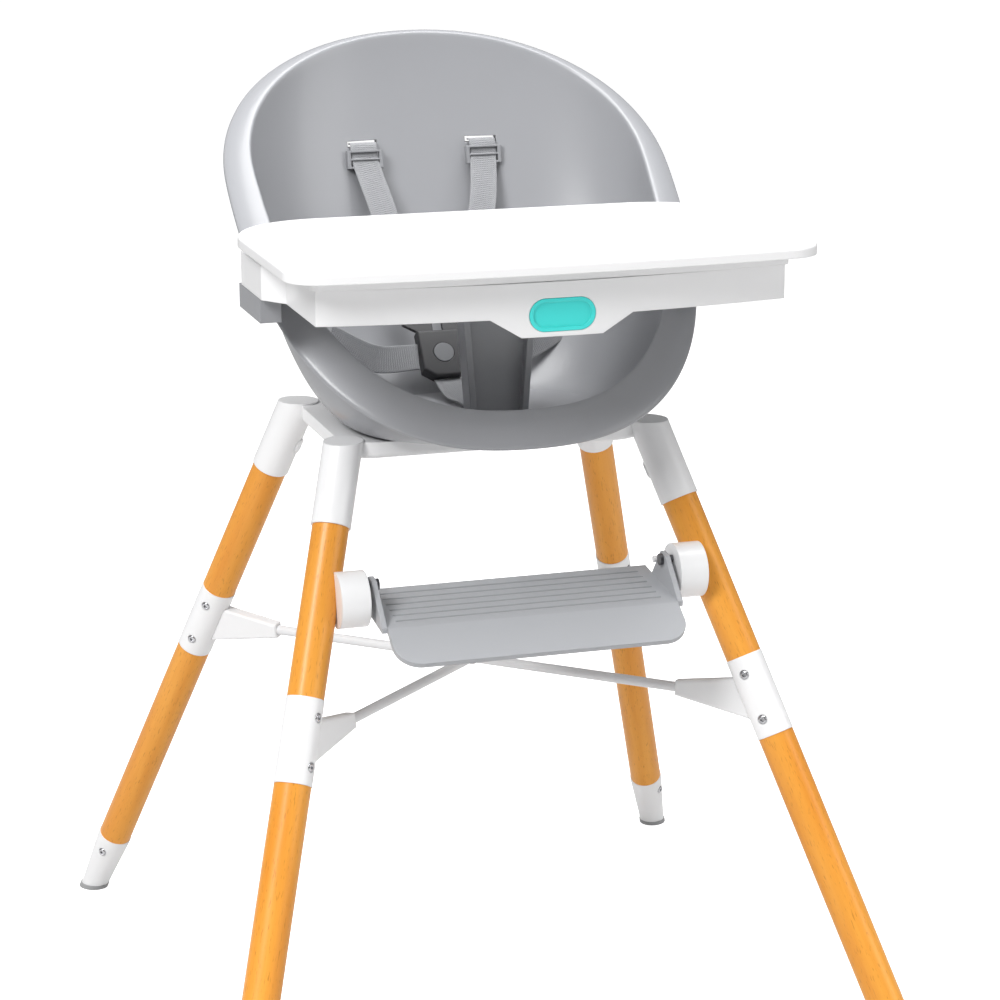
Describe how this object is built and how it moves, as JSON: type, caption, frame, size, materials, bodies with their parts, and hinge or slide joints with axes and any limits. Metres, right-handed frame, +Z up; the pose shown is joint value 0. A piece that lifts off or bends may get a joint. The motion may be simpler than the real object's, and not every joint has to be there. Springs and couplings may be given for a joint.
{
  "type": "baby high chair",
  "caption": "Bucket-seat high chair on splayed wooden legs with white couplers, crossed brace, sliding tray with lift-off liner, harness and flip-up footrest.",
  "frame": {"origin": "on the floor at the centre of the four feet", "axes": "+Z up, -Y towards the front (the tray side), +X towards the sitter's left as seen from behind the chair"},
  "size_m": [0.6822, 0.759, 0.9364],
  "materials": {
    "beech": "clear satin lacquer, fine straight grain",
    "white_plastic": "smooth moulded satin gloss",
    "tray_white": "smooth moulded satin gloss",
    "white_metal": "powder coated",
    "steel_hardware": "bright plated",
    "grey_rubber": "matt",
    "grey_shell": "smooth satin",
    "grey_footrest": "smooth satin",
    "teal_button": "smooth gloss",
    "latch_plastic": "moulded",
    "grey_webbing": "woven polyester webbing",
    "adjuster_plastic": "moulded",
    "buckle_plastic": "fine textured",
    "buckle_button_plastic": "fine textured"
  },
  "bodies": {
    "frame": {"base_plate": "white_plastic", "brace_bracket_fl": "white_plastic", "brace_bracket_fr": "white_plastic", "brace_bracket_rl": "white_plastic", "brace_bracket_rr": "white_plastic", "brace_rivet": "steel_hardware", "brace_rod_1": "white_metal", "brace_rod_2": "white_metal", "bracket_screws": "steel_hardware", "buckle_body": "buckle_plastic", "buckle_tongues": "buckle_plastic", "coupler_bolts": "steel_hardware", "crotch_post": "grey_shell", "crotch_strap": "grey_webbing", "foot_cap_fl": "white_plastic", "foot_cap_fr": "white_plastic", "foot_cap_rl": "white_plastic", "foot_cap_rr": "white_plastic", "foot_pads": "grey_rubber", "foot_screws": "steel_hardware", "footrest_bracket_left": "white_plastic", "footrest_bracket_right": "white_plastic", "footrest_pins": "steel_hardware", "leg_coupler_fl": "white_plastic", "leg_coupler_fr": "white_plastic", "leg_coupler_rl": "white_plastic", "leg_coupler_rr": "white_plastic", "leg_socket_fl": "white_plastic", "leg_socket_fr": "white_plastic", "leg_socket_rl": "white_plastic", "leg_socket_rr": "white_plastic", "lower_leg_fl": "beech", "lower_leg_fr": "beech", "lower_leg_rl": "beech", "lower_leg_rr": "beech", "seat_screws": "steel_hardware", "seat_shell": "grey_shell", "shoulder_strap_left": "grey_webbing", "shoulder_strap_right": "grey_webbing", "strap_adjusters": "adjuster_plastic", "tray_rail_left": "grey_shell", "tray_rail_right": "grey_shell", "upper_leg_fl": "beech", "upper_leg_fr": "beech", "upper_leg_rl": "beech", "upper_leg_rr": "beech", "waist_strap_left": "grey_webbing", "waist_strap_right": "grey_webbing"},
    "tray": {"tray_body": "tray_white"},
    "liner": {"tray_liner": "tray_white"},
    "button": {"tray_button": "teal_button", "cam_plate": "latch_plastic"},
    "latch_left": {"latch_bar_left": "latch_plastic"},
    "latch_right": {"latch_bar_right": "latch_plastic"},
    "footrest": {"footrest_plate": "grey_footrest"},
    "harness_button": {"buckle_button": "buckle_button_plastic"},
    "release_fl": {"leg_release_button_fl": "white_plastic"},
    "release_fr": {"leg_release_button_fr": "white_plastic"},
    "release_rl": {"leg_release_button_rl": "white_plastic"},
    "release_rr": {"leg_release_button_rr": "white_plastic"}
  },
  "joints": [
    {"name": "tray_slide", "type": "slide", "parent": "frame", "child": "tray", "axis": [0, -1, 0], "range_m": [0, 0.14]},
    {"name": "liner_lift", "type": "slide", "parent": "tray", "child": "liner", "axis": [0, 0, 1], "range_m": [0, 0.15]},
    {"name": "tray_button_press", "type": "slide", "parent": "tray", "child": "button", "axis": [0, 1, 0], "range_m": [0, 0.0045], "stiffness_N_per_m": 900, "springref_m": -0.002},
    {"name": "latch_left_draw", "type": "slide", "parent": "tray", "child": "latch_left", "axis": [1, 0, 0], "range_m": [0, 0.0063]},
    {"name": "latch_right_draw", "type": "slide", "parent": "tray", "child": "latch_right", "axis": [-1, 0, 0], "range_m": [0, 0.0063]},
    {"name": "footrest_fold", "type": "hinge", "parent": "frame", "child": "footrest", "pos_m": [0, -0.161, 0.473], "axis": [-1, 0, 0], "range_deg": [0, 75]},
    {"name": "buckle_press", "type": "slide", "parent": "frame", "child": "harness_button", "axis": [0, 0.788, -0.6157], "range_m": [0, 0.0025], "stiffness_N_per_m": 900, "springref_m": -0.001},
    {"name": "release_fl_press", "type": "slide", "parent": "frame", "child": "release_fl", "axis": [-0.6957, -0.5491, 0.4632], "range_m": [0, 0.003], "stiffness_N_per_m": 900, "springref_m": -0.001},
    {"name": "release_fr_press", "type": "slide", "parent": "frame", "child": "release_fr", "axis": [0.6957, -0.5491, 0.4632], "range_m": [0, 0.003], "stiffness_N_per_m": 900, "springref_m": -0.001},
    {"name": "release_rl_press", "type": "slide", "parent": "frame", "child": "release_rl", "axis": [-0.6957, 0.5491, 0.4632], "range_m": [0, 0.003], "stiffness_N_per_m": 900, "springref_m": -0.001},
    {"name": "release_rr_press", "type": "slide", "parent": "frame", "child": "release_rr", "axis": [0.6957, 0.5491, 0.4632], "range_m": [0, 0.003], "stiffness_N_per_m": 900, "springref_m": -0.001}
  ],
  "couplings": [
    {"joint": "latch_left_draw", "follows": "tray_button_press", "ratio": 1.4},
    {"joint": "latch_right_draw", "follows": "tray_button_press", "ratio": 1.4}
  ]
}
